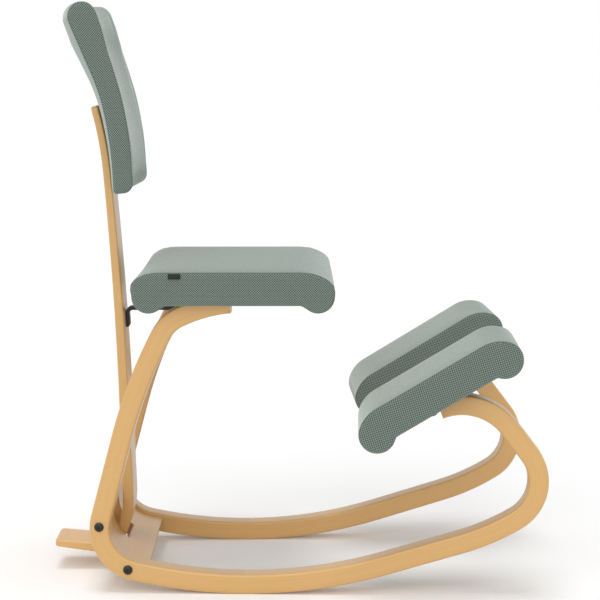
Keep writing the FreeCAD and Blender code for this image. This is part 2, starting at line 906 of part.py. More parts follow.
def beside_back(path, share, aside):
    """A point in front of the backrest's rear face, with the heading of the face there."""
    left = share * path.length
    for piece in path.pieces:
        if left <= Path.span(piece) or piece is path.pieces[-1]:
            break
        left -= Path.span(piece)
    point, heading = Path.at(piece, left / Path.span(piece))
    return point + direction(heading - 90) * aside, heading


def steps(start, end, count):
    return [start + (end - start) * k / (count - 1) for k in range(count)]


def face_curves(path, aside, joints):
    """Arcs and lines in front of the backrest's rear face, at the depth aside(share), between the joints."""
    curves = []
    for start, end in zip(joints, joints[1:]):
        points = [beside_back(path, share, aside(share))[0] for share in (start, (start + end) / 2, end)]
        bend = (points[1] - points[0]).cross(points[2] - points[1]).Length
        curves.append(arc(*points) if bend > STRAIGHT else line(points[0], points[2]))
    return curves


def rear_joints(path, start, end):
    """Shares of the rear face where its arcs meet, between a start and an end."""
    travelled = 0.0
    joints = []
    for piece in path.pieces:
        travelled += Path.span(piece)
        joints.append(travelled / path.length)
    return [start] + [joint for joint in joints if start < joint < end] + [end]


def cushion_section(inset):
    """Side view of the backrest cushion in the middle of the chair, drawn in by inset."""
    path = back_rear_path()
    heel, toe, roll = size("back_heel_round"), size("back_toe_round"), back_depth(1) / 2
    heel_share, toe_share = heel / path.length, toe / path.length

    def corner(share, aside, radius, start_angle, turn):
        centre, heading = beside_back(path, share, aside)
        angles = (start_angle, start_angle + turn / 2, start_angle + turn)
        return arc(*[centre + direction(heading + angle) * (radius - inset) for angle in angles])
    rear = face_curves(path, lambda share: inset, rear_joints(path, heel_share, 1))
    front = face_curves(path, lambda share: back_depth(share) - inset, steps(1, toe_share, FRONT_ARCS + 1))
    crown = corner(1, roll, roll, 90, -180)
    toe_corner = corner(toe_share, back_depth(toe_share) - toe, toe, -90, -90)
    heel_corner = corner(heel_share, heel, heel, 180, -90)
    sole = line(toe_corner.EndPoint, heel_corner.StartPoint)
    return rear + [crown] + front + [toe_corner, sole, heel_corner]


def shell_section(inset):
    """Side view of a band for the shell: it starts behind the cushion's rear face."""
    path = back_rear_path()
    end = size("back_shell_inset") / path.length
    joints = rear_joints(path, end, 1 - end)
    rear = face_curves(path, lambda share: -inset, joints)
    front = face_curves(path, lambda share: inset + size("back_shell_thick"), joints)
    foot = line(rear[0].StartPoint, front[0].StartPoint)
    return rear + [line(rear[-1].EndPoint, front[-1].EndPoint)] + front + [foot]


def between(low_name, high_name, share):
    """A size that changes evenly from the backrest's bottom to its top."""
    return size(low_name) + (size(high_name) - size(low_name)) * share


def to_side(point, side, side_inset):
    """Where a point of the middle side view comes out at a side: forwards, and closer in above."""
    share = (point.y - size("back_bottom")) / size("back_height")
    half_width = between("back_width_bottom", "back_width_top", share) / 2
    wrap = between("back_wrap_bottom", "back_wrap_top", share)
    part = (1 - 2 * side_inset / size("back_width_bottom")) ** 2
    return Vector(point.x + wrap * part, side * (half_width - side_inset), point.y)


def curved_form(name, section, side_inset):
    """A form curved round the sitter's back: each curve of its middle side view sweeps to both sides."""
    faces = []
    for curve in section:
        flat = curve.toBSpline()
        rows = []
        for pole in flat.getPoles():
            left, right = to_side(pole, 1, side_inset), to_side(pole, -1, side_inset)
            middle = Vector(pole.x, 0, pole.y)
            rows.append([right, middle * 2 - (left + right) * 0.5, left])
        sweep = Part.BSplineSurface()
        weights = [[weight] * 3 for weight in flat.getWeights()]
        sweep.buildFromPolesMultsKnots(rows, flat.getMultiplicities(), [3, 3], flat.getKnots(), [0.0, 1.0],
                                       False, False, flat.Degree, 2, weights)
        faces.append(sweep.toShape())
    for side in SIDES.values():
        rim = []
        for face in faces:
            rim += [edge for edge in face.Edges if on_side(edge, side, side_inset)]
        faces.append(Part.Face(Part.Wire(Part.__sortEdges__(rim))))
    shell = Part.makeShell(faces)
    shell.sewShape()
    solid = Part.makeSolid(shell)
    if solid.Volume < 0:
        solid.reverse()
    form = doc.addObject("Part::Feature", name)
    form.Shape = solid
    return form


def on_side(edge, side, side_inset):
    """True for an edge that lies wholly on one side of the backrest."""
    for parameter in steps(edge.FirstParameter, edge.LastParameter, 5):
        point = edge.valueAt(parameter)
        if abs(to_side(Vector(0, point.z, 0), side, side_inset).y - point.y) > SAME_PLACE:
            return False
    return True


def back_bolt_places():
    return [behind_post(size("back_low_bolt")), behind_post(size("back_high_bolt"))]


def back_nut_places():
    """Tee nuts of the backrest: their flanges lie on the shell's front face, z leading forwards."""
    for height in (size("back_low_bolt"), size("back_high_bolt")):
        _, _, thick = post_at(height)
        seat = thick + size("back_gap") + size("cover_thick") + size("back_shell_thick")
        yield from from_below([behind_post(height)], seat + size("back_nut_gap"))


def make_backrest():
    """Shell, foam and cover of the backrest, with room for the nuts on the shell's front face."""
    cover = size("cover_thick")
    outer = curved_form("back_outer", cushion_section(0), 0)
    inner = curved_form("back_inner", cushion_section(cover), cover)
    band = curved_form("back_shell_band", shell_section(cover), size("back_shell_inset"))
    shell_blank = doc.addObject("Part::Common", "back_shell_blank")
    shell_blank.Base = inner
    shell_blank.Tool = band
    doc.recompute()
    shell_drills, cover_drills, nut_spaces = [], [], []
    for number, place in enumerate(back_nut_places()):
        behind = moved(place, -size("post_foot_thick") * 2)
        shell_drills.append(cylinder(f"shell_drill_{number}", "tee_barrel_radius + thread_gap",
                                     "post_foot_thick * 3", behind))
        cover_drills.append(cylinder(f"cover_drill_{number}", "small_bolt_radius + bolt_clearance",
                                     "post_foot_thick * 2", behind))
        front = moved(place, -size("back_nut_gap") * 2)
        nut_spaces.append(cylinder(f"back_nut_space_{number}", "tee_flange_radius + thread_gap",
                                   "tee_flange_thick + back_nut_gap * 3", front))
    return [
        cut("back_shell", shell_blank, shell_drills),
        cut("back_foam", inner, [shell_blank] + nut_spaces),
        cut("back_cover", outer, [inner] + cover_drills),
    ]


# Fasteners

def turned_part(name, outline):
    """A body of revolution about its own z axis."""
    body = new_body(name)
    drawing = sketch(body, "XZ_Plane", outline)
    turned = body.newObject("PartDesign::Revolution", name + "_revolution")
    turned.Profile = drawing
    turned.ReferenceAxis = (drawing, ["V_Axis"])
    turned.Angle = 360
    doc.recompute()
    return body


def button_bolt(name, radius, length, head_radius, head_height, socket_radius, socket_depth):
    """Button-head bolt with a hexagon socket; z = 0 is the underside of its head."""
    rim_height = head_height * size("bolt_rim_share")
    face_radius = socket_radius + size("bolt_face_width")
    rim = Vector(head_radius, rim_height, 0)
    face = Vector(face_radius, head_height, 0)
    outwards = Vector(head_height - rim_height, head_radius - face_radius, 0)
    bulge = (rim + face) / 2 + outwards * size("bolt_bulge_share")
    outline = [
        line(Vector(0, -length, 0), Vector(radius, -length, 0)),
        line(Vector(radius, -length, 0), Vector(radius, 0, 0)),
        line(Vector(radius, 0, 0), Vector(head_radius, 0, 0)),
        line(Vector(head_radius, 0, 0), rim),
        arc(rim, bulge, face),
        line(face, Vector(0, head_height, 0)),
        line(Vector(0, head_height, 0), Vector(0, -length, 0)),
    ]
    body = turned_part(name, outline)
    across_corners = socket_radius / math.cos(math.radians(30))
    corners = [direction(angle) * across_corners for angle in range(0, 360, 60)]
    socket = sketch(body, "XY_Plane", polygon([(point.x, point.y) for point in corners]), head_height)
    feature = pocket(body, socket, both_ways=False)
    feature.Type = "Length"
    feature.Length = socket_depth
    doc.recompute()
    return body


def tee_nut(name):
    """Flanged nut pressed into a board; z = 0 is the face of the flange that lies on the board."""
    bore = size("small_bolt_radius") + size("thread_gap")
    barrel, flange = size("tee_barrel_radius"), size("tee_flange_radius")
    outline = polygon([(bore, -size("tee_barrel_length")), (barrel, -size("tee_barrel_length")), (barrel, 0),
                       (flange, 0), (flange, size("tee_flange_thick")), (bore, size("tee_flange_thick"))])
    return turned_part(name, outline)


def wood_screw(name):
    """Countersunk screw; z = 0 is the flat of its head."""
    radius, length = size("screw_radius"), size("screw_length")
    outline = polygon([(0, -length), (radius, -length + radius), (radius, -size("screw_head_height")),
                       (size("screw_head_radius"), 0), (0, 0)])
    return turned_part(name, outline)


def barrel_nut(name):
    """Cross dowel: a short steel cylinder with the bolt's thread across it."""
    blank = cylinder(name + "_blank", "barrel_nut_radius", "barrel_nut_length", Placement())
    start = Vector(0, -size("barrel_nut_radius") * 2, size("barrel_nut_length") / 2)
    thread = cylinder(name + "_thread", "bolt_radius + thread_gap", "barrel_nut_radius * 4",
                      pointing(start, LEFTWARD))
    return cut(name, blank, [thread])


def from_below(places, depth):
    """Turn each upward place round, so that a bolt's head hangs below at the given depth."""
    return [place.multiply(Placement(UP * -depth, Rotation(FORWARD, 180))) for place in places]


def both_sides(places):
    return [place for side in SIDES.values() for place in places(side)]


def make_fasteners():
    """Every bolt, nut and screw; each kind is made once and copied to its places."""
    def small_bolt(name, length):
        return button_bolt(name, size("small_bolt_radius"), length, size("small_head_radius"),
                           size("small_head_height"), size("small_socket_radius"),
                           size("small_socket_depth"))
    frame_bolt_length = size("runner_width") + size("bolt_grip_in_board")
    frame_bolt = button_bolt("frame_bolt", size("bolt_radius"), frame_bolt_length, size("bolt_head_radius"),
                             size("bolt_head_height"), size("bolt_socket_radius"), size("bolt_socket_depth"))
    floor, cover = size("counterbore_floor"), size("cover_thick")
    seat_bolt = small_bolt("seat_bolt", floor + cover + size("seat_base_thick"))
    knee_bolt = small_bolt("knee_bolt", floor + cover + size("knee_base_thick"))
    _, _, post_thick = post_at(size("back_low_bolt"))
    back_bolt = small_bolt("back_bolt", post_thick + size("back_gap") + cover + size("back_shell_thick"))
    _, _, bracket_post = post_at(bracket_bolt_height())
    post_bolt = small_bolt("post_bolt_part", bracket_post + size("bracket_thick"))
    nut, screw, dowel = tee_nut("tee_nut"), wood_screw("wood_screw"), barrel_nut("barrel_nut")
    seat_nuts = [moved(place, cover + size("seat_base_thick")) for place in both_sides(seat_bolt_places)]
    knee_nuts = [moved(place, cover + size("knee_base_thick")) for place in both_sides(knee_bolt_places)]
    return [
        copies("frame_bolts", frame_bolt, both_sides(frame_bolt_places)),
        copies("frame_barrel_nuts", dowel, both_sides(barrel_nut_places)),
        copies("seat_bolts", seat_bolt, from_below(both_sides(seat_bolt_places), floor)),
        copies("knee_bolts", knee_bolt, from_below(both_sides(knee_bolt_places), floor)),
        copies("seat_tee_nuts", nut, seat_nuts),
        copies("knee_tee_nuts", nut, knee_nuts),
        copies("back_bolts", back_bolt, back_bolt_places()),
        copies("back_tee_nuts", nut, back_nut_places()),
        copies("post_bolt", post_bolt, [behind_post(bracket_bolt_height())]),
        copies("bracket_screws", screw, bracket_screw_places()),
    ]


def make_tab():
    """Blank cloth tab sewn under the seat's top seam on the right side."""
    length, height = size("tab_length"), size("tab_height")
    body = new_body("seat_tab")
    pad(body, sketch(body, "XZ_Plane", rectangle(-length, 0, -height, 0)), "tab_thick", both_ways=False)
    front = size("tab_offset") - size("seat_length") / 2
    top = size("seat_thick") - size("cushion_edge")
    corner = Placement(Vector(front, -size("seat_width") / 2, top), Rotation())
    body.Placement = seat_place().multiply(corner)
    return body


def screw_pilots():
    """Where the bracket's screws enter the seat: z up, from the seat's underside."""
    for place in bracket_screw_places():
        yield Placement(Vector(place.Base.x, 0, size("seat_height")), Rotation())


parts = [finish_runner(side_name) for side_name in SIDES]
parts += [make_board(), make_post(), make_bracket()]
parts += upholster("seat", seat_place(), "seat", both_sides(seat_bolt_places), list(screw_pilots()))
for side_name, side in SIDES.items():
    knee_parts = upholster("knee_" + side_name, knee_place(side), "knee", list(knee_bolt_places(side)))
    parts += knee_parts
parts += make_backrest()
parts += make_fasteners()
parts.append(make_tab())
doc.recompute()


def check_model():
    """Stop if any object of the document failed, or if a part has no valid solid."""
    for thing in doc.Objects:
        if "Invalid" in thing.State or "Error" in thing.State:
            raise RuntimeError(f"{thing.Name} failed: {thing.State}")
    for part in parts:
        if part.Shape.isNull() or not part.Shape.isValid() or not part.Shape.Solids:
            raise RuntimeError(f"{part.Name} has no valid solid")


def move_to_origin():
    """Put the origin in the middle of the floor rectangle that the chair covers."""
    boxes = [part.Shape.optimalBoundingBox() for part in parts]
    middle = (min(box.XMin for box in boxes) + max(box.XMax for box in boxes)) / 2
    floor = min(box.ZMin for box in boxes)
    shift = Placement(Vector(-middle, 0, -floor), Rotation())
    for part in parts:
        part.Placement = shift.multiply(part.Placement)
    doc.recompute()


def export_parts():
    os.makedirs("parts", exist_ok=True)
    for part in parts:
        part.Label = part.Name
        part.Shape.exportStep(f"parts/{part.Label}.step")


check_model()
move_to_origin()
check_model()
export_parts()
for part in parts:
    box = part.Shape.optimalBoundingBox()
    corners = [round(value, 1) for value in (box.XMin, box.XMax, box.YMin, box.YMax, box.ZMin, box.ZMax)]
    print(f"{part.Label}: {len(part.Shape.Solids)} solid(s), {part.Shape.Volume / 1000:.1f} cm3, {corners}")
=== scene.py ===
"""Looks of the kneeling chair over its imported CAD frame: bent beech, woven wool cushions, black fittings.

Lengths are metres in the frame of the CAD, with sizes that are easier to read in millimetres written as
a number times MM. +X points forward, +Y to the sitter's left and +Z up.
"""
import bmesh
import bpy
import json
import math
from mathutils import Matrix, Vector


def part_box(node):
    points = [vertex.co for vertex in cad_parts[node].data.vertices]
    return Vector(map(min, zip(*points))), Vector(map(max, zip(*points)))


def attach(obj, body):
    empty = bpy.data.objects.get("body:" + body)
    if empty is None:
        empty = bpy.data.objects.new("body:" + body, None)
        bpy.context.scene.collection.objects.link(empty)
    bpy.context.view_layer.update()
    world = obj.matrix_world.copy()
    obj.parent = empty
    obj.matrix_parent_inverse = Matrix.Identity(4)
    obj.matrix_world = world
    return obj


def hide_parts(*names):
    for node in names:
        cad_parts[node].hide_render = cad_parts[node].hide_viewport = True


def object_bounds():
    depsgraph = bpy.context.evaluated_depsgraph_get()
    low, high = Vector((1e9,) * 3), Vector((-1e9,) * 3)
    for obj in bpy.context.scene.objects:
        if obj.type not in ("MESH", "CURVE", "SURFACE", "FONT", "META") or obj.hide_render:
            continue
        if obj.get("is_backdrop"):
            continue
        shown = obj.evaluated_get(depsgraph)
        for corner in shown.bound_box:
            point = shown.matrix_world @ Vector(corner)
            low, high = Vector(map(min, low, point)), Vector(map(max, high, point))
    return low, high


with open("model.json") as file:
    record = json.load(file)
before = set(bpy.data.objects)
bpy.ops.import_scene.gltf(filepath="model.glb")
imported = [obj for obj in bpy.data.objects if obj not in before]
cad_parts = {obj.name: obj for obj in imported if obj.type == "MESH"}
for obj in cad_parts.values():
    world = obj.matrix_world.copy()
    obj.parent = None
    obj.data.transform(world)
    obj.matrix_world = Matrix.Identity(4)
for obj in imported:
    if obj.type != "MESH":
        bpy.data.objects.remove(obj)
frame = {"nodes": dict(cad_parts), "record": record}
cad_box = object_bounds()

MM = 0.001
SIDES = {"right": -1, "left": 1}


# Materials

def colour(code):
    """An sRGB hex colour as linear light, with full alpha."""
    channels = [int(code[k:k + 2], 16) / 255 for k in (1, 3, 5)]
    return [c / 12.92 if c <= 0.04045 else ((c + 0.055) / 1.055) ** 2.4 for c in channels] + [1.0]


def add(tree, kind, inputs=None, **settings):
    """Add a node; inputs gives a socket its value or the output linked to it. Returns the first output."""
    node = tree.nodes.new(kind)
    for name, value in settings.items():
        setattr(node, name, value)
    for socket, value in (inputs or {}).items():
        if isinstance(value, bpy.types.NodeSocket):
            tree.links.new(value, node.inputs[socket])
        else:
            node.inputs[socket].default_value = value
    return next((output for output in node.outputs if output.enabled), node)


def new_material(name):
    material = bpy.data.materials.new(name)
    material.use_nodes = True
    material.node_tree.nodes.clear()
    return material


def laminated_beech():
    """Steam-bent beech veneers under satin lacquer: pale edges with thin glue lines and short flecks."""
    veneer = 1.55 * MM
    grain_width = 1.6 * MM
    grain_length = 60 * MM
    fleck_width = 1.2 * MM
    fleck_length = 7 * MM
    material = new_material("laminated_beech")
    tree = material.node_tree
    place = add(tree, "ShaderNodeAttribute", attribute_name="strip").node.outputs["Vector"]
    depth = add(tree, "ShaderNodeSeparateXYZ", {0: place}).node.outputs["Y"]
    grain_scale = (1 / grain_length, 1 / grain_width, 1 / grain_width)
    grain_place = add(tree, "ShaderNodeMapping", {"Vector": place, "Scale": grain_scale})
    grain = add(tree, "ShaderNodeTexNoise", {"Vector": grain_place, "Scale": 1.0, "Detail": 5.0,
                                             "Roughness": 0.6})
    fleck_scale = (1 / fleck_length, 1 / fleck_width, 1 / fleck_width)
    fleck_place = add(tree, "ShaderNodeMapping", {"Vector": place, "Scale": fleck_scale})
    fleck = add(tree, "ShaderNodeTexVoronoi", {"Vector": fleck_place, "Scale": 1.0})
    flecks = add(tree, "ShaderNodeMapRange", {"Value": fleck, "From Min": 0.12, "From Max": 0.3,
                                              "To Min": 0.14, "To Max": 0.0})
    layer = add(tree, "ShaderNodeMath", {0: depth, 1: veneer}, operation="DIVIDE")
    layer_number = add(tree, "ShaderNodeMath", {0: layer}, operation="FLOOR")
    layer_tone = add(tree, "ShaderNodeTexWhiteNoise", {"W": layer_number}, noise_dimensions="1D")
    tone = add(tree, "ShaderNodeMath", {0: layer_tone, 1: 0.22}, operation="MULTIPLY")
    across_layer = add(tree, "ShaderNodeMath", {0: layer}, operation="FRACT")
    glue = add(tree, "ShaderNodeMapRange", {"Value": across_layer, "From Min": 0.0, "From Max": 0.18,
                                            "To Min": 0.16, "To Max": 0.0})
    pale = add(tree, "ShaderNodeMix", {0: grain, 6: colour("#D7A864"), 7: colour("#E0B475")},
               data_type="RGBA")
    toned = add(tree, "ShaderNodeMix", {0: tone, 6: pale, 7: colour("#CB9A58")}, data_type="RGBA")
    lined = add(tree, "ShaderNodeMix", {0: glue, 6: toned, 7: colour("#AD7D44")}, data_type="RGBA")
    flecked = add(tree, "ShaderNodeMix", {0: flecks, 6: lined, 7: colour("#AD7B45")}, data_type="RGBA")
    bump = add(tree, "ShaderNodeBump", {"Height": grain, "Strength": 0.08, "Distance": 0.1 * MM})
    shader = add(tree, "ShaderNodeBsdfPrincipled", {"Base Color": flecked, "Roughness": 0.42,
                                                    "Coat Weight": 0.35, "Coat Roughness": 0.25,
                                                    "Normal": bump})
    add(tree, "ShaderNodeOutputMaterial", {"Surface": shader})
    return material


def woven_wool():
    """Plain-woven wool of pale and dark yarns: a fine checker of soft round threads with a fuzzy sheen."""
    thread = 1.9 * MM
    wander = 0.25 * MM
    material = new_material("woven_wool")
    tree = material.node_tree
    place = add(tree, "ShaderNodeUVMap", uv_map="weave")
    drift = add(tree, "ShaderNodeTexNoise", {"Vector": place, "Scale": 1 / (14 * MM), "Detail": 2.0})
    shifts = add(tree, "ShaderNodeVectorMath", {0: drift.node.outputs["Color"], 1: (0.5, 0.5, 0.5)},
                 operation="SUBTRACT")
    shift = add(tree, "ShaderNodeVectorMath", {0: shifts, 3: wander * 4}, operation="SCALE")
    drifted = add(tree, "ShaderNodeVectorMath", {0: place, 1: shift}, operation="ADD")
    threads = add(tree, "ShaderNodeVectorMath", {0: drifted, 3: math.pi / thread}, operation="SCALE")
    waves = add(tree, "ShaderNodeVectorMath", {0: threads}, operation="SINE")
    wave = add(tree, "ShaderNodeSeparateXYZ", {0: waves}).node
    crossing = add(tree, "ShaderNodeMath", {0: wave.outputs["X"], 1: wave.outputs["Y"]},
                   operation="MULTIPLY")
    on_top = add(tree, "ShaderNodeMapRange", {"Value": crossing, "From Min": -0.25, "From Max": 0.25},
                 interpolation_type="SMOOTHSTEP")
    yarn = add(tree, "ShaderNodeTexNoise", {"Vector": place, "Scale": 1 / (1.2 * MM), "Detail": 3.0})
    cloud = add(tree, "ShaderNodeTexNoise", {"Vector": place, "Scale": 1 / (35 * MM), "Detail": 2.0})
    dark = add(tree, "ShaderNodeMix", {0: yarn, 6: colour("#0F1513"), 7: colour("#2C3632")},
               data_type="RGBA")
    pale = add(tree, "ShaderNodeMix", {0: yarn, 6: colour("#74847A"), 7: colour("#A0AFA5")},
               data_type="RGBA")
    two_tone = add(tree, "ShaderNodeMix", {0: on_top, 6: dark, 7: pale}, data_type="RGBA")
    mottle = add(tree, "ShaderNodeMapRange", {"Value": cloud, "To Min": 0.0, "To Max": 0.12})
    mottled = add(tree, "ShaderNodeMix", {0: mottle, 6: two_tone, 7: colour("#6F8179")}, data_type="RGBA")
    # Painted shade: the wool is darkened toward #3B4844 along the seam rings, standing in for the shade in
    # the crease each seam pulls into the cover.
    seam = add(tree, "ShaderNodeAttribute", attribute_name="seam").node.outputs["Fac"]
    seam_painted_shade = add(tree, "ShaderNodeMath", {0: seam, 1: 0.75}, operation="MULTIPLY")
    # sewn is the woven colour with the painted seam shade mixed in.
    sewn = add(tree, "ShaderNodeMix", {0: seam_painted_shade, 6: mottled, 7: colour("#3B4844")}, data_type="RGBA")
    height = add(tree, "ShaderNodeMath", {0: crossing}, operation="ABSOLUTE")
    bump = add(tree, "ShaderNodeBump", {"Height": height, "Strength": 0.5, "Distance": 0.35 * MM})
    shader = add(tree, "ShaderNodeBsdfPrincipled", {"Base Color": sewn, "Roughness": 0.95,
                                                    "Specular IOR Level": 0.2, "Sheen Weight": 1.0,
                                                    "Sheen Roughness": 0.52,
                                                    "Sheen Tint": colour("#E2EBE5"), "Normal": bump})
    add(tree, "ShaderNodeOutputMaterial", {"Surface": shader})
    return material


def nonwoven_cloth():
    """Spun-bonded lining cloth under the seats: dull near-black fibres with no weave."""
    fibre = 1.5 * MM
    material = new_material("nonwoven_lining")
    tree = material.node_tree
    place = add(tree, "ShaderNodeTexCoord").node.outputs["Object"]
    fibres = add(tree, "ShaderNodeTexNoise", {"Vector": place, "Scale": 1 / fibre, "Detail": 6.0,
                                              "Roughness": 0.7, "Distortion": 1.5})
    shade = add(tree, "ShaderNodeMix", {0: fibres, 6: colour("#1B1C1D"), 7: colour("#3A3C3D")},
                data_type="RGBA")
    bump = add(tree, "ShaderNodeBump", {"Height": fibres, "Strength": 0.4, "Distance": 0.3 * MM})
    shader = add(tree, "ShaderNodeBsdfPrincipled", {"Base Color": shade, "Roughness": 0.9,
                                                    "Specular IOR Level": 0.25, "Normal": bump})
    add(tree, "ShaderNodeOutputMaterial", {"Surface": shader})
    return material


def black_enamel():
    """Powder-coated steel: satin black with a faint orange-peel surface."""
    peel = 1.4 * MM
    material = new_material("black_powder_coat")
    tree = material.node_tree
    place = add(tree, "ShaderNodeTexCoord").node.outputs["Object"]
    ripple = add(tree, "ShaderNodeTexNoise", {"Vector": place, "Scale": 1 / peel, "Detail": 2.0})
    shade = add(tree, "ShaderNodeMix", {0: ripple, 6: colour("#08090A"), 7: colour("#121314")},
                data_type="RGBA")
    bump = add(tree, "ShaderNodeBump", {"Height": ripple, "Strength": 0.25, "Distance": 0.1 * MM})
    shader = add(tree, "ShaderNodeBsdfPrincipled", {"Base Color": shade, "Roughness": 0.4, "Normal": bump})
    add(tree, "ShaderNodeOutputMaterial", {"Surface": shader})
    return material


def zinc_plate():
    """Zinc-plated steel nuts: bright grey with a cloudy passivated finish."""
    cloud = 3 * MM
    material = new_material("zinc_plated_steel")
    tree = material.node_tree
    place = add(tree, "ShaderNodeTexCoord").node.outputs["Object"]
    clouds = add(tree, "ShaderNodeTexNoise", {"Vector": place, "Scale": 1 / cloud, "Detail": 4.0})
    shade = add(tree, "ShaderNodeMix", {0: clouds, 6: colour("#A3A7A9"), 7: colour("#C4C7C6")},
                data_type="RGBA")
    rough = add(tree, "ShaderNodeMapRange", {"Value": clouds, "To Min": 0.28, "To Max": 0.45})
    shader = add(tree, "ShaderNodeBsdfPrincipled", {"Base Color": shade, "Roughness": rough,
                                                    "Metallic": 1.0})
    add(tree, "ShaderNodeOutputMaterial", {"Surface": shader})
    return material


def birch_plywood():
    """Birch plywood boards: pale faces with long grain and brown glue lines between the plies."""
    ply = 1.4 * MM
    grain_width = 3 * MM
    grain_length = 90 * MM
    material = new_material("birch_plywood")
    tree = material.node_tree
    place = add(tree, "ShaderNodeTexCoord").node.outputs["Object"]
    height = add(tree, "ShaderNodeSeparateXYZ", {0: place}).node.outputs["Z"]
    grain_scale = (1 / grain_width, 1 / grain_length, 1 / grain_width)
    grain_place = add(tree, "ShaderNodeMapping", {"Vector": place, "Scale": grain_scale})
    grain = add(tree, "ShaderNodeTexNoise", {"Vector": grain_place, "Scale": 1.0, "Detail": 4.0})
    plies = add(tree, "ShaderNodeMath", {0: height, 1: ply}, operation="DIVIDE")
    across = add(tree, "ShaderNodeMath", {0: plies}, operation="FRACT")
    glue = add(tree, "ShaderNodeMapRange", {"Value": across, "From Max": 0.2,
                                            "To Min": 0.35, "To Max": 0.0})
    face = add(tree, "ShaderNodeMix", {0: grain, 6: colour("#D9BE8F"), 7: colour("#EAD6B0")},
               data_type="RGBA")
    lined = add(tree, "ShaderNodeMix", {0: glue, 6: face, 7: colour("#8A6740")}, data_type="RGBA")
    shader = add(tree, "ShaderNodeBsdfPrincipled", {"Base Color": lined, "Roughness": 0.6})
    add(tree, "ShaderNodeOutputMaterial", {"Surface": shader})
    return material


BEECH = laminated_beech()
WOOL = woven_wool()
LINING = nonwoven_cloth()
BLACK_STEEL = black_enamel()
ZINC = zinc_plate()
PLYWOOD = birch_plywood()


def dress(thing, material):
    thing.data.materials.clear()
    thing.data.materials.append(material)


def put_in_scene(name, mesh, material, nodes):
    """A piece of the one body, standing for the CAD nodes named."""
    piece = bpy.data.objects.new(name, mesh)
    bpy.context.scene.collection.objects.link(piece)
    dress(piece, material)
    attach(piece, "root")
    if nodes:
        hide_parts(*nodes)
    return piece


# Bent wood: its surface knows how far along, across and beside its middle line it lies

CONTACT = Vector(next(m for m in frame["record"]["mounts"] if m["name"] == "rocker_contact")["pos_m"])
RUNNER_SPACING = 340 * MM
SPLAY = 2.0
RUNNER_THICK = 31 * MM
FORWARDS = [(775, 16.7), (122, 0), (373, 14.6), (71, 96.1), (53, 0), (92.5, 75)]
BACKWARDS = [(775, -13.1), (68.5, -91.8), (135, 0), (780, -12.9), (59, -36.2), (237, -20.3)]
HEEL = CONTACT + Vector((-160.1, 0, 102.4)) * MM
TAIL = HEEL - Vector((156.9, 0, 57.8)) * MM
TAIL_HEADING = -6.6
POST = [(69, 0), (38.2, 71.7), (148, 26.6), (127, 0), (6650, 3.5), (585, 10.5)]
SAME_PLACE = 0.001 * MM
SHARP_WOOD = 30


def direction(heading):
    """Unit vector in the side view; heading 0 points forwards and 90 points up."""
    return Vector((math.cos(math.radians(heading)), 0, math.sin(math.radians(heading))))


class Stretch:
    """One straight run or arc of a strip's middle line."""

    def __init__(self, start, heading, size, turn, before):
        self.start, self.heading, self.size, self.turn, self.before = start, heading, size, turn, before
        self.hand = math.copysign(1, turn)
        self.centre = start + direction(heading + 90 * self.hand) * size
        self.length = size * math.radians(abs(turn)) if turn else size

    def end(self):
        if not self.turn:
            return self.start + direction(self.heading) * self.size, self.heading
        heading = self.heading + self.turn
        return self.centre - direction(heading + 90 * self.hand) * self.size, heading

    def locate(self, point):
        """How badly the point fits this stretch, and how far it is along the whole line and to its left."""
        if self.turn:
            arm = point - self.centre
            first = direction(self.heading - 90 * self.hand)
            angle = math.atan2(first.x * arm.z - first.z * arm.x, first.x * arm.x + first.z * arm.z)
            along = angle * self.hand * self.size
            aside = (self.size - math.hypot(arm.x, arm.z)) * self.hand
        else:
            along = (point - self.start).dot(direction(self.heading))
            aside = (point - self.start).dot(direction(self.heading + 90))
        outside = max(0.0, -along, along - self.length)
        return outside + abs(aside), self.before + along, aside


def middle_line(start, heading, bends):
    """The stretches of a line from its bends: radius and angle of an arc, or length and 0 for a run."""
    stretches = []
    before = 0.0
    for size, turn in bends:
        stretch = Stretch(start, heading, size * MM, turn, before)
        stretches.append(stretch)
        start, heading = stretch.end()
        before += stretch.length
    return stretches


def select_only(piece):
    bpy.ops.object.select_all(action="DESELECT")
    piece.select_set(True)
    bpy.context.view_layer.objects.active = piece


def smooth(piece, angle):
    select_only(piece)
    bpy.ops.object.shade_smooth_by_angle(angle=math.radians(angle))


def wooden_piece(name, node, place_in_wood):
    """A merged copy of a CAD strip that carries the attribute the beech reads."""
    wood = bmesh.new()
    wood.from_mesh(frame["nodes"][node].data)
    bmesh.ops.remove_doubles(wood, verts=wood.verts, dist=SAME_PLACE)
    layer = wood.verts.layers.float_vector.new("strip")
    for vert in wood.verts:
        vert[layer] = place_in_wood(vert.co)
    mesh = bpy.data.meshes.new(name)
    wood.to_mesh(mesh)
    wood.free()
    piece = put_in_scene(name, mesh, BEECH, [node])
    smooth(piece, SHARP_WOOD)


def make_runner(side_name):
    """Its grain follows the line forwards and backwards from the point where the rocker meets the floor."""
    side = SIDES[side_name]
    origin = CONTACT + Vector((0, side * RUNNER_SPACING / 2, 0))
    to_plane = (Matrix.Translation(origin) @ Matrix.Rotation(math.radians(side * SPLAY), 4, "Z")).inverted()
    low_point = Vector((0, 0, RUNNER_THICK / 2))
    ahead = middle_line(low_point, 0, FORWARDS)
    behind = middle_line(low_point, 180, BACKWARDS)

    def place_in_wood(point):
        local = to_plane @ point
        fit, along, aside = min(stretch.locate(local) for stretch in ahead)
        rear_fit, rear_along, rear_aside = min(stretch.locate(local) for stretch in behind)
        if rear_fit < fit:
            along, aside = -rear_along, -rear_aside
        return along, aside, local.y + side
    wooden_piece("bent_runner_" + side_name, "runner_" + side_name, place_in_wood)


def make_post():
    """Its grain follows the line from the tail behind the heel to the tip behind the backrest."""
    line = middle_line(TAIL, TAIL_HEADING, POST)

    def place_in_wood(point):
        _, along, aside = min(stretch.locate(point) for stretch in line)
        return along, aside, point.y
    wooden_piece("bent_post", "back_post", place_in_wood)


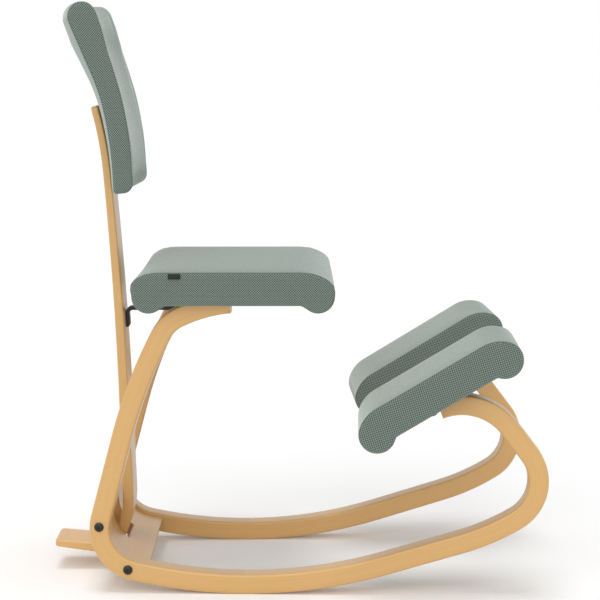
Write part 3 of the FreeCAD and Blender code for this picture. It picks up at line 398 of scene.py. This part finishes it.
def make_cross_board():
    """Its veneers wrap round the heel bend, with their grain from side to side."""
    def place_in_wood(point):
        arm = point - HEEL
        radius = math.hypot(arm.x, arm.z)
        return point.y, radius, math.atan2(arm.z, arm.x) * radius
    wooden_piece("bent_cross_board", "rear_cross_board", place_in_wood)


# Cushions: the CAD cover's own outline, sewn at both sides and blown up a little between the seams

LOOP_POINTS = 180
PANEL_ROWS = 8
GRID = 5 * MM
COVER = 1.5 * MM
UNDER_GAP = 0.7 * MM
PRESSURE = 4.0
LAST_FRAME = 20
# How far each ring of a cover's edge lies back from its side and inwards, in millimetres
EDGE_RINGS = [(0, 8), (0, 4.5), (0.35, 2.5), (2.1, 2.1), (2.5, 0.35), (4.5, 0)]
SEAM_RING = 3
THREAD = 1.9 * MM

SEAT_HALF_WIDTH = 212 * MM
SEAT_SLICE = 200 * MM
SEAT_CORNERS = (8 * MM, 4 * MM)
SEAT_PADDING = 4 * MM
KNEE_HALF_WIDTH = 88.5 * MM
KNEE_SLICE = 80 * MM
KNEE_CORNERS = (0, 0)
KNEE_PADDING = 1.5 * MM
KNEE_SLOPE = 31.1

BACK_BOTTOM = 627 * MM
BACK_HEIGHT = 300 * MM
BACK_WIDTH = (284 * MM, 254 * MM)
BACK_SLICE = 20 * MM
BACK_PADDING = 5 * MM
# How far the sides reach forwards of the middle: in the solid at its bottom and top, and in the cushion's
# rear and front at the heights given
BACK_WRAP = (11 * MM, 24 * MM)
REAR_WRAP = [(627 * MM, 11 * MM), (770 * MM, 17.2 * MM), (860 * MM, 23.5 * MM), (927 * MM, 18 * MM)]
FRONT_WRAP = [(627 * MM, 2 * MM), (760 * MM, 16.8 * MM), (860 * MM, 23 * MM), (927 * MM, 18 * MM)]

CLOTH_STEP = 4 * MM
CLOTH_CORNER = 10 * MM
CLOTH_LEVEL = 0.38 * MM
CLOTH_THICK = 0.3 * MM
HEM_DROP = 0.12 * MM
HEM_WIDTH = 9 * MM
SLACK = 0.08 * MM
PUCKER = 9 * MM
SHARP_CLOTH = 40
# Side view of the ribbon in millimetres, outwards and downwards from the seam
RIBBON = [(-1, -2.6), (0.8, -1.8), (2.2, 0.2), (2.6, 2.5), (2.5, 4.6), (2.15, 5.2), (1.8, 4.6), (1.9, 2.5),
          (1.5, 0.6), (0.4, -1.2), (-1, -2)]
RIBBON_STEPS = 10
RIBBON_LIFT = 0.2 * MM


def cover_outline(node, place, aside, low_end):
    """Outer outline of a cover where the plane y = aside of the place cuts it: two runs of points, each
    from the end where low_end(point) is least to the end where it is most."""
    cover = bmesh.new()
    cover.from_mesh(frame["nodes"][node].data)
    bmesh.ops.transform(cover, matrix=place.inverted(), verts=cover.verts)
    bmesh.ops.remove_doubles(cover, verts=cover.verts, dist=SAME_PLACE)
    everything = cover.verts[:] + cover.edges[:] + cover.faces[:]
    found = bmesh.ops.bisect_plane(cover, geom=everything, plane_co=(0, aside, 0), plane_no=(0, 1, 0))
    cover.edges.index_update()
    edges = {piece for piece in found["geom_cut"] if isinstance(piece, bmesh.types.BMEdge)}
    loops = []
    while edges:
        edge = min(edges, key=lambda piece: piece.index)
        edges.remove(edge)
        loop = [edge.verts[0], edge.verts[1]]
        while True:
            following = next((e for e in loop[-1].link_edges if e in edges), None)
            if following is None:
                break
            edges.remove(following)
            loop.append(following.other_vert(loop[-1]))
        loops.append([vert.co.copy() for vert in loop[:-1]])
    cover.free()
    outer = max(loops, key=lambda loop: max(map(low_end, loop)) - min(map(low_end, loop)))
    start = min(range(len(outer)), key=lambda k: low_end(outer[k]))
    outer = outer[start:] + outer[:start]
    far = max(range(len(outer)), key=lambda k: low_end(outer[k]))
    return outer[:far + 1], [outer[0]] + outer[:far - 1:-1]


def evenly(run, count):
    """The same run with count equal steps."""
    lengths = [0.0]
    for first, second in zip(run, run[1:]):
        lengths.append(lengths[-1] + (second - first).length)
    points = []
    k = 0
    for step in range(count + 1):
        wanted = lengths[-1] * step / count
        while k < len(run) - 2 and lengths[k + 1] < wanted:
            k += 1
        share = (wanted - lengths[k]) / (lengths[k + 1] - lengths[k])
        points.append(run[k].lerp(run[k + 1], share))
    return points


def drawn_in(ring, inset):
    """A ring of points in the side view, moved inwards."""
    area = sum(a.x * b.z - b.x * a.z for a, b in zip(ring, ring[1:] + ring[:1]))
    hand = math.copysign(1, area)
    result = []
    for k, point in enumerate(ring):
        tangent = (ring[(k + 1) % len(ring)] - ring[k - 1]).normalized()
        result.append(point + Vector((-tangent.z, 0, tangent.x)) * hand * inset)
    return result


def sewn_cover(name, ring, half_width, bend, rests):
    """Mesh of a cover: a band round the outline, and a panel at each side that is sewn to it.

    bend(point, share) says where a point of the side view goes at a share of the way to the left side.
    """
    count = len(ring)
    lengths = [0.0]
    for first, second in zip(ring, ring[1:] + ring[:1]):
        lengths.append(lengths[-1] + (second - first).length)
    around = round(lengths[-1] / (2 * THREAD)) * 2 * THREAD / lengths[-1]
    edge = [(1 - back * MM / half_width, inset * MM) for back, inset in EDGE_RINGS]
    inner = edge[-1][0]
    rows = round(2 * half_width / GRID)
    band = [(inner * (2 * k / rows - 1), 0.0) for k in range(1, rows)]
    levels = [(-share, inset) for share, inset in edge] + band + edge[::-1]
    seams = (SEAM_RING, len(levels) - 1 - SEAM_RING)
    points, faces, places, seam, held = [], [], [], [], []
    rings = {inset: drawn_in(ring, inset) for _, inset in levels}
    for level, (share, inset) in enumerate(levels):
        for k, point in enumerate(rings[inset]):
            points.append(bend(point, share))
            # The seam rings get 1 here: the wool reads this as the mask of its painted seam shade.
            seam.append(1.0 if level in seams else 0.0)
            at_seam = 0 < inset < edge[0][1]
            supported = inset == 0 and rests(ring[k], k)
            held.append(1.0 if at_seam or supported else 0.0)
    for level in range(len(levels) - 1):
        in_panel = level < SEAM_RING or level >= len(levels) - 1 - SEAM_RING
        for k in range(count):
            corners = [(level, k), (level, k + 1), (level + 1, k + 1), (level + 1, k)]
            faces.append([row * count + column % count for row, column in corners])
            if in_panel:
                flat = [rings[levels[row][1]][column % count] for row, column in corners]
                places.append([(point.x, point.z) for point in flat])
            else:
                places.append([(lengths[column] * around, levels[row][0] * half_width)
                               for row, column in corners])
    for level, share in ((0, -1), (len(levels) - 1, 1)):
        add_panel(points, faces, places, rings[levels[level][1]], level * count, lambda p: bend(p, share))
    seam += [0.0] * (len(points) - len(seam))
    held += [0.0] * (len(points) - len(held))
    mesh = bpy.data.meshes.new(name)
    mesh.from_pydata(points, [], faces)
    weave = mesh.uv_layers.new(name="weave")
    for loop, place in zip(weave.data, [place for corners in places for place in corners]):
        loop.uv = place
    mesh.attributes.new("seam", "FLOAT", "POINT").data.foreach_set("value", seam)
    form = bmesh.new()
    form.from_mesh(mesh)
    bmesh.ops.recalc_face_normals(form, faces=form.faces)
    form.to_mesh(mesh)
    form.free()
    return mesh, held


def add_panel(points, faces, places, ring, first, placed):
    """Close the ring with rows that run from each of its points to the one across from it."""
    half = len(ring) // 2
    grid = {}
    flat = {}
    for k in range(half + 1):
        start, end = ring[k], ring[-k]
        for row in range(PANEL_ROWS + 1):
            flat[k, row] = start.lerp(end, row / PANEL_ROWS)
            if row == 0 or k in (0, half):
                grid[k, row] = first + k
            elif row == PANEL_ROWS:
                grid[k, row] = first + len(ring) - k
            else:
                grid[k, row] = len(points)
                points.append(placed(flat[k, row]))
    for k in range(half):
        for row in range(PANEL_ROWS):
            corners = [(k, row), (k + 1, row), (k + 1, row + 1), (k, row + 1)]
            if k == 0:
                corners.pop(0)
            elif k == half - 1:
                corners.pop(1)
            faces.append([grid[corner] for corner in corners])
            places.append([(flat[corner].x, flat[corner].z) for corner in corners])


def pad_out(piece, held, limit):
    """Cloth simulation under a little pressure, held at the seams and where the cushion rests."""
    scene = bpy.context.scene
    group = piece.vertex_groups.new(name="held")
    for k, weight in enumerate(held):
        if weight:
            group.add([k], weight, "REPLACE")
    start = [vert.co.copy() for vert in piece.data.vertices]
    cloth = piece.modifiers.new("Padding", "CLOTH")
    cloth.settings.vertex_group_mass = "held"
    cloth.settings.use_pressure = True
    cloth.settings.uniform_pressure_force = PRESSURE
    cloth.settings.effector_weights.gravity = 0.0
    cloth.point_cache.frame_start = 1
    cloth.point_cache.frame_end = LAST_FRAME
    for number in range(1, LAST_FRAME + 1):
        scene.frame_set(number)
    select_only(piece)
    bpy.ops.object.modifier_apply(modifier=cloth.name)
    scene.frame_set(1)
    furthest = 0.0
    for vert, old in zip(piece.data.vertices, start):
        move = vert.co - old
        furthest = max(furthest, move.length)
        if move.length > 0:
            vert.co = old + move.normalized() * limit * math.tanh(move.length / limit)
    print(f"{piece.name}: padding moved it by up to {furthest / MM:.1f} mm")


def make_cushion(name, nodes, place, outline, half_width, bend, rests, limit):
    """A cushion that stands for its CAD nodes, from the two runs of its side view."""
    front, rear = [evenly(run, LOOP_POINTS // 2) for run in outline]
    ring = front + rear[-2:0:-1]
    mesh, held = sewn_cover(name, ring, half_width, bend, rests)
    piece = put_in_scene(name, mesh, WOOL, nodes)
    pad_out(piece, held, limit)
    piece.data.transform(place)
    rounding = piece.modifiers.new("Rounding", "SUBSURF")
    rounding.levels = 1
    rounding.render_levels = 1
    select_only(piece)
    bpy.ops.object.modifier_apply(modifier=rounding.name)
    bpy.ops.object.shade_smooth()


def base_place(node, turn):
    """Where a cushion's own frame sits: under the middle of its base board."""
    low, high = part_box(node)
    underside = min((turn.inverted() @ vert.co).z for vert in frame["nodes"][node].data.vertices)
    middle = (low + high) / 2
    up = turn @ Vector((0, 0, 1))
    drop = (turn.inverted() @ middle).z - underside + COVER
    return Matrix.Translation(middle - up * drop) @ turn.to_4x4()


def filled_corners(run, rear, front):
    """The upper run of a side view with its rear and front corners pushed out, as tight foam does."""
    filled = [run[0]]
    for before, point, after in zip(run, run[1:], run[2:]):
        tangent = (after - before).normalized()
        normal = Vector((-tangent.z, 0, tangent.x))
        push = rear if normal.x < 0 else front
        filled.append(point + normal * push * (2 * normal.x * normal.z) ** 2)
    return filled + [run[-1]]


def make_seat_cushion(prefix, place, half_width, slice_at, corners, limit):
    """A seat or knee cushion: straight across, and flat where it rests on its base board."""
    upper, lower = sorted(cover_outline(prefix + "_cover", place, slice_at, lambda point: point.x),
                          key=lambda run: -sum(point.z for point in run) / len(run))
    upper = filled_corners(upper, *corners)

    def bend(point, share):
        return Vector((point.x, share * half_width, UNDER_GAP if abs(point.z) < UNDER_GAP else point.z))

    def rests(point, k):
        return abs(point.z) < UNDER_GAP
    make_cushion(prefix + "_cushion", [prefix + "_cover", prefix + "_foam"], place, (upper, lower),
                 half_width, bend, rests, limit)


def make_under_cloth(prefix, place):
    """Lining stretched and tacked under a base board, with its turned hem showing as a flat welt."""
    node = prefix + "_under_cover"
    inside = [place.inverted() @ vert.co for vert in frame["nodes"][node].data.vertices]
    half_x, half_y = [max(abs(point[axis]) for point in inside) for axis in (0, 1)]
    columns, rows = round(2 * half_x / CLOTH_STEP), round(2 * half_y / CLOTH_STEP)
    points = []
    for row in range(rows + 1):
        for column in range(columns + 1):
            x = half_x * (2 * column / columns - 1)
            y = half_y * (2 * row / rows - 1)
            over = Vector((max(abs(x) - half_x + CLOTH_CORNER, 0), max(abs(y) - half_y + CLOTH_CORNER, 0)))
            if over.length > CLOTH_CORNER:
                back = over * (1 - CLOTH_CORNER / over.length)
                x -= math.copysign(back.x, x)
                y -= math.copysign(back.y, y)
            edge = min(half_x - abs(x), half_y - abs(y))
            hem = HEM_DROP if edge < HEM_WIDTH else 0
            slack = SLACK * math.sin(x / PUCKER) * math.sin(y / PUCKER)
            points.append(place @ Vector((x, y, CLOTH_LEVEL - hem + slack)))
    faces = []
    for row in range(rows):
        for column in range(columns):
            first = row * (columns + 1) + column
            faces.append((first, first + 1, first + columns + 2, first + columns + 1))
    mesh = bpy.data.meshes.new(prefix + "_under_cloth")
    mesh.from_pydata(points, [], faces)
    piece = put_in_scene(prefix + "_under_cloth", mesh, LINING, [node])
    thicken(piece)


def thicken(piece):
    """Give a sheet the thickness of the lining."""
    wall = piece.modifiers.new("Thickness", "SOLIDIFY")
    wall.thickness = CLOTH_THICK
    wall.offset = 0
    select_only(piece)
    bpy.ops.object.modifier_apply(modifier=wall.name)
    smooth(piece, SHARP_CLOTH)


def make_seat_tab():
    """A short blank ribbon, folded once and caught in the seam at the seat's right."""
    low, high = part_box("seat_tab")
    points = []
    for step in range(RIBBON_STEPS + 1):
        share = step / RIBBON_STEPS
        x = low.x + (high.x - low.x) * share
        lift = RIBBON_LIFT * math.sin(math.pi * share)
        points += [(x, high.y - out * MM - lift, high.z - down * MM) for out, down in RIBBON]
    faces = []
    for step in range(RIBBON_STEPS):
        for k in range(len(RIBBON) - 1):
            first = step * len(RIBBON) + k
            faces.append((first, first + 1, first + len(RIBBON) + 1, first + len(RIBBON)))
    mesh = bpy.data.meshes.new("seat_ribbon")
    mesh.from_pydata(points, [], faces)
    piece = put_in_scene("seat_ribbon", mesh, LINING, ["seat_tab"])
    thicken(piece)
    length = sum(math.dist(first, second) for first, second in zip(RIBBON, RIBBON[1:])) * MM


def reading(table, height):
    """Value at a height from a table of heights and values."""
    for (low, first), (high, second) in zip(table, table[1:]):
        if height <= high:
            return first + (second - first) * max(0, height - low) / max(high - low, SAME_PLACE)
    return table[-1][1]


def make_back_cushion():
    """The backrest's cushion wraps forwards to both sides, is full at the loins and narrows to its top."""
    def at_height(pair, z):
        return pair[0] + (pair[1] - pair[0]) * (z - BACK_BOTTOM) / BACK_HEIGHT

    runs = cover_outline("back_cover", Matrix.Identity(4), BACK_SLICE, lambda point: point.z)
    rear, front = sorted(runs, key=lambda run: sum(point.x for point in run) / len(run))
    middles = []
    for run, table in ((rear, REAR_WRAP), (front, FRONT_WRAP)):
        middle = []
        for point in run:
            share = BACK_SLICE / (at_height(BACK_WIDTH, point.z) / 2)
            shift = at_height(BACK_WRAP, point.z) * (1 - share ** 2) - reading(table, point.z)
            middle.append(Vector((point.x + shift, 0, point.z)))
        middles.append(middle)
    rear, front = middles
    for k in (0, -1):
        front[k] = rear[k] = (front[k] + rear[k]) / 2
    rear_line, front_line = [sorted((point.z, point.x) for point in run) for run in (rear, front)]

    def bend(point, share):
        behind, ahead = reading(rear_line, point.z), reading(front_line, point.z)
        depth = min(max((point.x - behind) / max(ahead - behind, MM), 0), 1)
        wraps = reading(REAR_WRAP, point.z), reading(FRONT_WRAP, point.z)
        wrap = wraps[0] + (wraps[1] - wraps[0]) * depth
        across = share * at_height(BACK_WIDTH, point.z) / 2
        return Vector((point.x + wrap * share ** 2, across, point.z))

    def rests(point, k):
        return k > LOOP_POINTS // 2
    make_cushion("back_cushion", ["back_cover", "back_foam"], Matrix.Identity(4), (front, rear),
                 sum(BACK_WIDTH) / 4, bend, rests, BACK_PADDING)


for side_name in SIDES:
    make_runner(side_name)
make_post()
make_cross_board()

seat_place = base_place("seat_base", Matrix.Identity(3))
make_seat_cushion("seat", seat_place, SEAT_HALF_WIDTH, SEAT_SLICE, SEAT_CORNERS, SEAT_PADDING)
make_under_cloth("seat", seat_place)
make_seat_tab()
for side_name, side in SIDES.items():
    splay = Matrix.Rotation(math.radians(side * SPLAY), 3, "Z")
    slope = Matrix.Rotation(math.radians(-KNEE_SLOPE), 3, "Y")
    prefix = "knee_" + side_name
    place = base_place(prefix + "_base", splay @ slope)
    make_seat_cushion(prefix, place, KNEE_HALF_WIDTH, KNEE_SLICE, KNEE_CORNERS, KNEE_PADDING)
    make_under_cloth(prefix, place)
make_back_cushion()

for node in ("seat_bracket", "frame_bolts", "seat_bolts", "knee_bolts", "back_bolts", "post_bolt",
             "bracket_screws"):
    dress(frame["nodes"][node], BLACK_STEEL)
for node in ("frame_barrel_nuts", "seat_tee_nuts", "knee_tee_nuts", "back_tee_nuts"):
    dress(frame["nodes"][node], ZINC)
for node in ("seat_base", "knee_right_base", "knee_left_base", "back_shell"):
    dress(frame["nodes"][node], PLYWOOD)


# Studio

FLOOR_SIZE = 60
FLOOR_GLOW = 0.1
WORLD_LEVEL = 0.4
OVERHEAD = ((0.05, 0.05, -1), 30, 1.25)
FRONT = ((0.2, 0.8, -0.5), 60, 1.2)
SENSOR_WIDTH = 36
LENS = 110.04
VIEW_DISTANCE = 200
CAMERA_PLACE = (-2.2 * MM, -2999.8 * MM, 819.9 * MM)
CAMERA_DIP = 7.14
CAMERA_TURN = -0.204


def shown(tree):
    """1 for the rays that show the background: straight to the camera, mirrored, or through something."""
    path = add(tree, "ShaderNodeLightPath").node
    direct = path.outputs["Is Camera Ray"]
    seen = add(tree, "ShaderNodeMath", {0: direct, 1: path.outputs["Is Glossy Ray"]}, operation="ADD")
    return add(tree, "ShaderNodeMath", {0: seen, 1: path.outputs["Is Transmission Ray"]},
               operation="ADD", use_clamp=True)


def make_floor():
    """A white floor that reads as pure white to the camera and still takes the chair's shadow."""
    material = new_material("white_studio_floor")
    tree = material.node_tree
    paint = add(tree, "ShaderNodeBsdfDiffuse", {"Color": colour("#F8F8F8")})
    glow = add(tree, "ShaderNodeEmission", {"Color": colour("#FFFFFF"), "Strength": FLOOR_GLOW})
    lit = add(tree, "ShaderNodeAddShader", {0: paint, 1: glow})
    shader = add(tree, "ShaderNodeMixShader", {0: shown(tree), 1: paint, 2: lit})
    add(tree, "ShaderNodeOutputMaterial", {"Surface": shader})
    bpy.ops.object.select_all(action="DESELECT")
    bpy.ops.mesh.primitive_plane_add(size=FLOOR_SIZE)
    floor = bpy.context.object
    floor.name = "floor"
    floor.data.materials.append(material)
    floor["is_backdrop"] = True


def make_world():
    """White for the camera, and an even pale light for everything else."""
    world = bpy.data.worlds.new("studio")
    bpy.context.scene.world = world
    world.use_nodes = True
    tree = world.node_tree
    tree.nodes.clear()
    strength = add(tree, "ShaderNodeMapRange", {"Value": shown(tree), "To Min": WORLD_LEVEL,
                                                "To Max": 1.0})
    light = add(tree, "ShaderNodeBackground", {"Color": colour("#FFFFFF"), "Strength": strength})
    add(tree, "ShaderNodeOutputWorld", {"Surface": light})


def make_lamp(name, toward, spread, power):
    """Soft light from one side of the studio: as even everywhere as a sun, and as wide as a softbox."""
    lamp = bpy.data.lights.new(name, "SUN")
    lamp.angle = math.radians(spread)
    lamp.energy = power
    thing = bpy.data.objects.new(name, lamp)
    thing.rotation_euler = Vector(toward).to_track_quat("-Z", "Y").to_euler()
    bpy.context.scene.collection.objects.link(thing)


def make_camera():
    """The photograph's viewpoint: from the sitter's right, a little above the seat, through a long lens."""
    camera = bpy.data.cameras.new("camera")
    camera.sensor_width = SENSOR_WIDTH
    camera.lens = LENS
    camera.clip_end = VIEW_DISTANCE
    thing = bpy.data.objects.new("camera", camera)
    thing.location = CAMERA_PLACE
    thing.rotation_euler = (math.radians(90 - CAMERA_DIP), 0, math.radians(CAMERA_TURN))
    bpy.context.scene.collection.objects.link(thing)
    bpy.context.scene.camera = thing


make_floor()
make_world()
make_lamp("overhead_softbox", *OVERHEAD)
make_lamp("front_softbox", *FRONT)
make_camera()
bpy.context.scene.view_settings.view_transform = "Standard"

boxes = {"cad": cad_box, "visual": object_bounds()}
{name: [list(corner) for corner in box] for name, box in boxes.items()}
